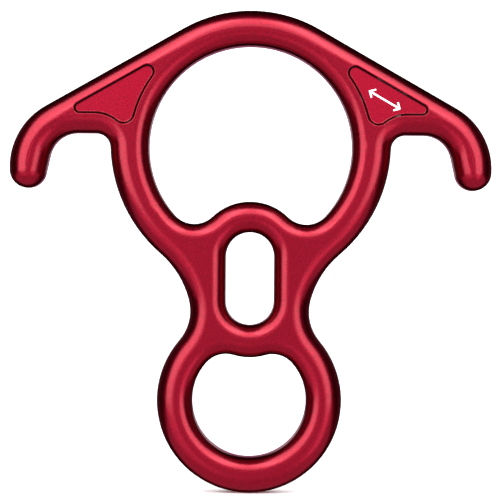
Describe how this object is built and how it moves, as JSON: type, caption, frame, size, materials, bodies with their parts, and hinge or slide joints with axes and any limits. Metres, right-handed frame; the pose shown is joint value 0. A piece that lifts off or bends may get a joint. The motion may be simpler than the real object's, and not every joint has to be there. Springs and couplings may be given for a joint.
{
  "type": "rescue figure 8 descender",
  "caption": "Figure 8 rope descender with a bent ear on each side of its ring, a slot between its openings, and shallow ear pockets; red anodised aluminium.",
  "frame": {"origin": "centre of the harness eye, halfway through the body's thickness", "axes": "+Z from the harness eye up to the rope ring, +X toward one ear, -Y out of the front face"},
  "size_m": [0.152, 0.014, 0.1519],
  "materials": {
    "red_anodised_aluminium": "satin red anodising over a bead-blasted forging",
    "load_mark": "matt white laser mark"
  },
  "bodies": {
    "root": {"descender_body": "red_anodised_aluminium"}
  },
  "joints": []
}
